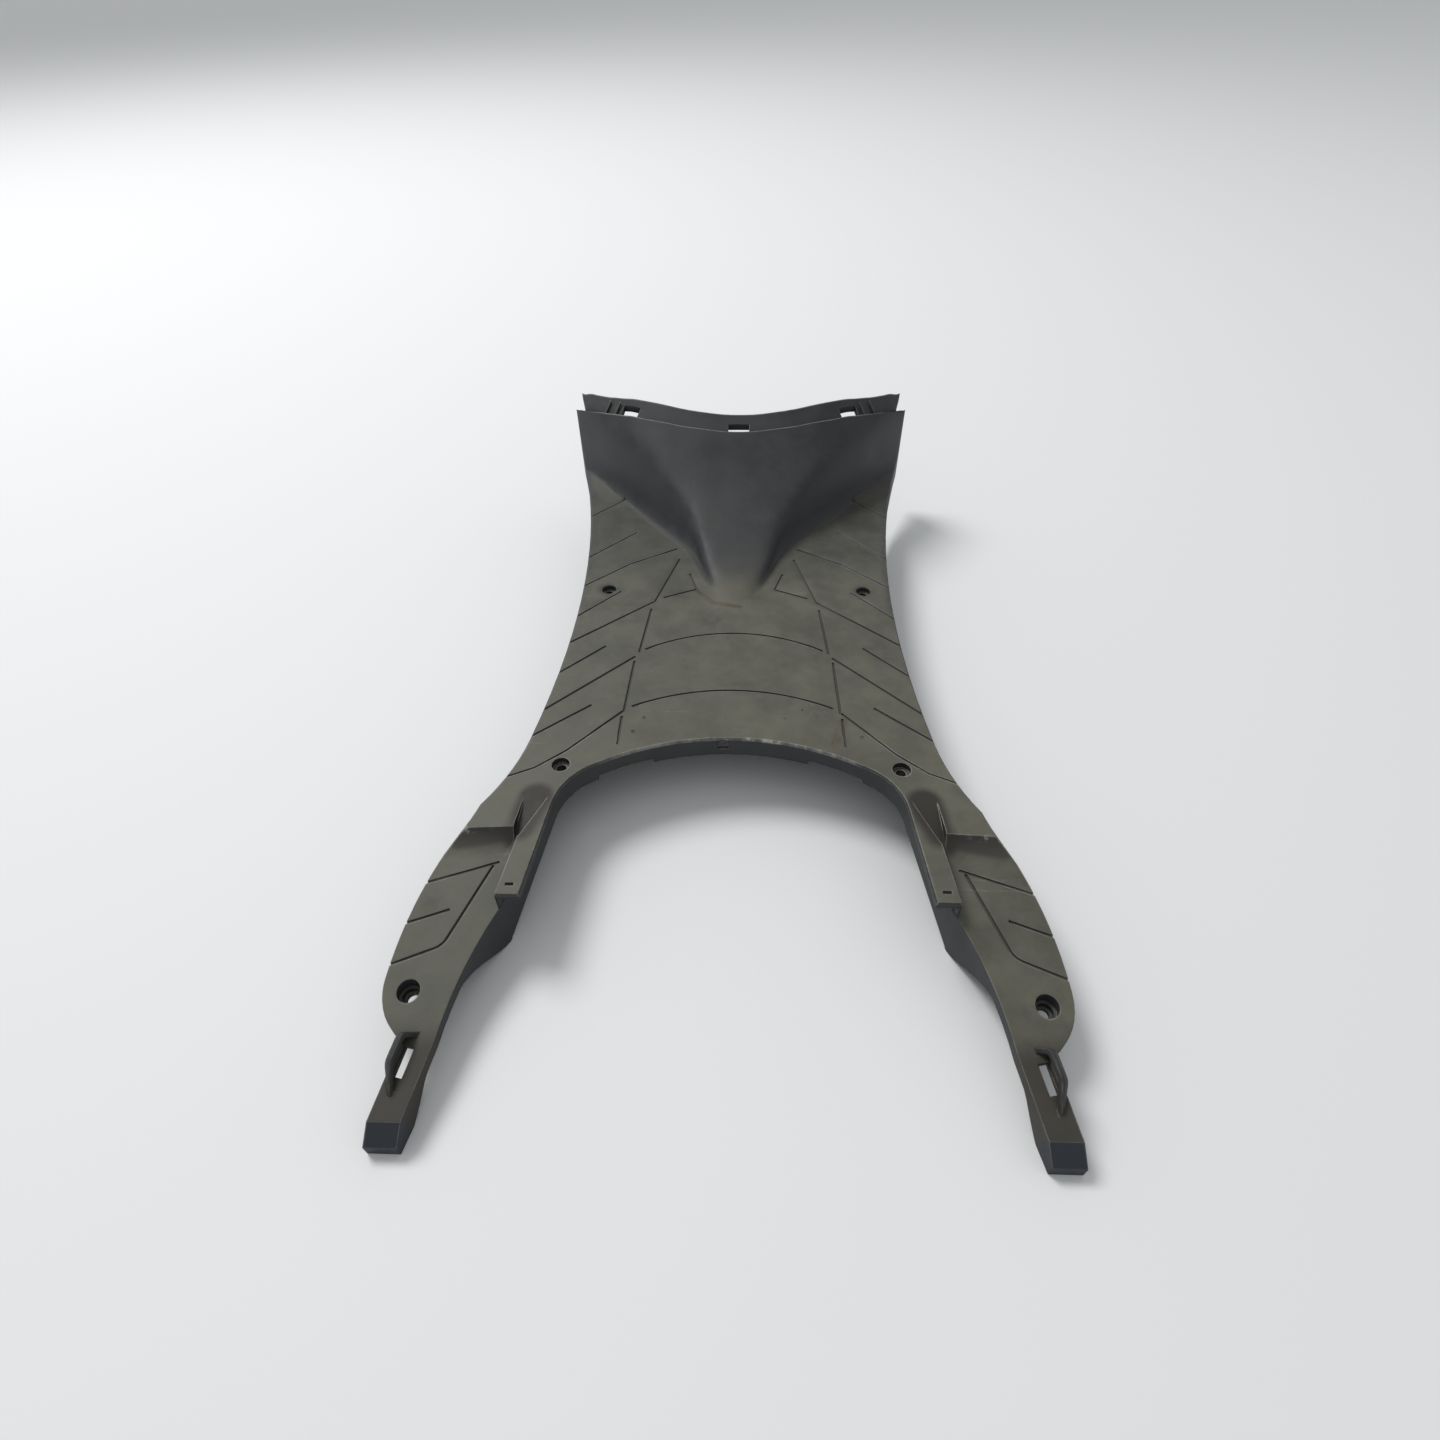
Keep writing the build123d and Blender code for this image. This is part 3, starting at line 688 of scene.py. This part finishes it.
def worn_and_highlit(n, skin, colour):
    """Painted highlight and pale wear on the upper edges, strongest at the arch and on the steps.
    """
    crown = n.spot(skin.place, *CROWN)
    arch = n.times(n.ramp_mm(skin.y, *ARCH_REAR_Y), n.ramp_mm(skin.y, *ARCH_FRONT_Y))
    steps = n.both_streaks(skin.place, *STEP_EDGE)
    wear = n.plus(n.most(crown, n.times(arch, ARCH_WEAR), *steps), LEAST_WEAR)
    topside = n.ramp(skin.up, *TOPSIDE)
    worn = n.times(skin.edge, n.ramp(skin.mottle, *WEAR_PATCHES), wear, topside)
    pale = n.plus(n.times(arch, ARCH_EDGE_SHARE), EDGE_SHARE)
    # Pale on every upper convex edge: painted highlight together with wear
    colour = n.mix(n.times(skin.edge, topside, pale), colour, linear(*EDGE_HIGHLIGHT_AND_WEAR))
    colour = n.mix(n.math("MINIMUM", worn, WORN_MOST), colour, linear(*SCUFF_AND_HIGHLIGHT))
    # Thin line along the arch: partly painted highlight, partly wear
    colour = n.mix(arch_line(n, skin, crown), colour, linear(*SCUFF_AND_HIGHLIGHT))
    scuffs = n.times(n.most(*steps), n.ramp(skin.mottle, *SCUFF_PATCHES), SCUFF_SHARE)
    return n.mix(scuffs, colour, linear(*SCUFF_AND_HIGHLIGHT))


def plastic():
    """Worn, dusty black moulding with a fine grain, painted shade in its grooves, undersides and
    bars' ends and on the tread by the hump, and painted highlights on its edges.
    """
    material = bpy.data.materials.new("black_plastic")
    n = Nodes(material)
    skin = Skin(n)
    colour = dusted(n, skin)
    for layer in (grimed_and_shaded, darkened, stained, speckled, worn_and_highlit):
        colour = layer(n, skin, colour)

    height = n.plus(n.times(skin.grain, BUMP_GRAIN), n.times(skin.speckle, BUMP_SPECKLE))
    bump = n.add("ShaderNodeBump")
    bump.inputs["Strength"].default_value = BUMP_STRENGTH
    bump.inputs["Distance"].default_value = BUMP_DEPTH / 1000
    n.feed(bump.inputs["Height"], height)
    n.feed(bump.inputs["Normal"], skin.normal)

    shader = n.add("ShaderNodeBsdfPrincipled")
    n.feed(shader.inputs["Base Color"], colour)
    n.feed(shader.inputs["Roughness"], n.ramp(skin.cloud, *GLOSS_PATCHES, *ROUGHNESS))
    n.feed(shader.inputs["Normal"], bump.outputs[0])
    shader.inputs["Specular IOR Level"].default_value = SPECULAR
    n.surface(shader)
    return material


def make_camera():
    """Camera at the photograph's height and angle."""
    pitch, yaw, roll = (math.radians(a) for a in (CAMERA_PITCH, CAMERA_YAW, CAMERA_ROLL))
    level = math.cos(pitch)
    forward = Vector((math.sin(yaw) * level, math.cos(yaw) * level, -math.sin(pitch)))
    right = Vector((math.cos(yaw), -math.sin(yaw), 0))
    up = right.cross(forward)
    x_axis = math.cos(roll) * right + math.sin(roll) * up
    y_axis = math.cos(roll) * up - math.sin(roll) * right
    data = bpy.data.cameras.new("camera")
    data.lens = CAMERA_LENS
    data.sensor_width = CAMERA_SENSOR
    data.clip_start, data.clip_end = CAMERA_CLIP
    camera = bpy.data.objects.new("camera", data)
    turn = Matrix((x_axis, y_axis, -forward)).transposed()
    camera.matrix_world = Matrix.Translation(metres(*CAMERA_PLACE)) @ turn.to_4x4()
    bpy.context.scene.collection.objects.link(camera)
    bpy.context.scene.camera = camera


def make_floor():
    """Plain pale floor, a little below the part so that no faces lie in each other."""
    half = STAGE_SIZE / 2
    low = -STAGE_GAP / 1000
    corners = [(-half, -half, low), (half, -half, low), (half, half, low), (-half, half, low)]
    mesh = bpy.data.meshes.new("floor")
    mesh.from_pydata(corners, [], [(0, 1, 2, 3)])
    floor = bpy.data.objects.new("floor", mesh)
    bpy.context.scene.collection.objects.link(floor)
    material = bpy.data.materials.new("floor")
    n = Nodes(material)
    shader = n.add("ShaderNodeBsdfPrincipled")
    shader.inputs["Base Color"].default_value = (STAGE_GREY, STAGE_GREY, STAGE_GREY, 1)
    shader.inputs["Roughness"].default_value = STAGE_ROUGHNESS
    n.surface(shader)
    mesh.materials.append(material)


def make_light():
    """One soft light from the upper left and light from all round."""
    light = bpy.data.lights.new("key", "AREA")
    light.shape = "DISK"
    light.size = KEY_SIZE
    light.energy = KEY_POWER
    key = bpy.data.objects.new("key", light)
    key.location = KEY_PLACE
    key.rotation_mode = "QUATERNION"
    key.rotation_quaternion = (-key.location).to_track_quat("-Z", "Y")
    bpy.context.scene.collection.objects.link(key)

    world = bpy.data.worlds.new("world")
    bpy.context.scene.world = world
    world.use_nodes = True
    background = world.node_tree.nodes["Background"]
    background.inputs["Color"].default_value = WORLD_COLOUR
    background.inputs["Strength"].default_value = WORLD_LIGHT


board = eased_board(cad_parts["floorboard"])
board.data.materials.append(plastic())
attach(board, "root")
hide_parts("floorboard")
make_camera()
make_floor()
make_light()
bpy.context.scene.view_settings.view_transform = "Standard"
